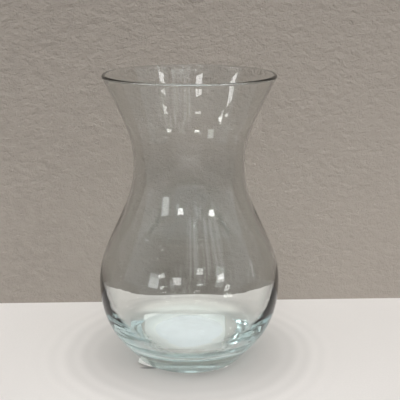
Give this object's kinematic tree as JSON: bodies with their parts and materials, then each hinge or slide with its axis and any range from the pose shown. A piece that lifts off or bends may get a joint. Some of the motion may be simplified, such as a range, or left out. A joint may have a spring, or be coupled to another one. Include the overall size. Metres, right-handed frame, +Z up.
{
  "type": "glass flower vase",
  "caption": "Clear glass flower vase with a small thick foot, a full low belly, a narrow waist and a wide flared mouth, with a blank paper label under the base.",
  "frame": {"origin": "on the vase's axis, at the level of the table under its base", "axes": "+Z up along the vase's axis, +X to the right and +Y away from the picture's camera"},
  "size_m": [0.1288, 0.1288, 0.2031],
  "materials": {
    "clear_glass": "clear, polished",
    "label_paper": "matt white paper"
  },
  "bodies": {
    "root": {"glass_body": "clear_glass", "base_label": "label_paper"}
  },
  "joints": []
}
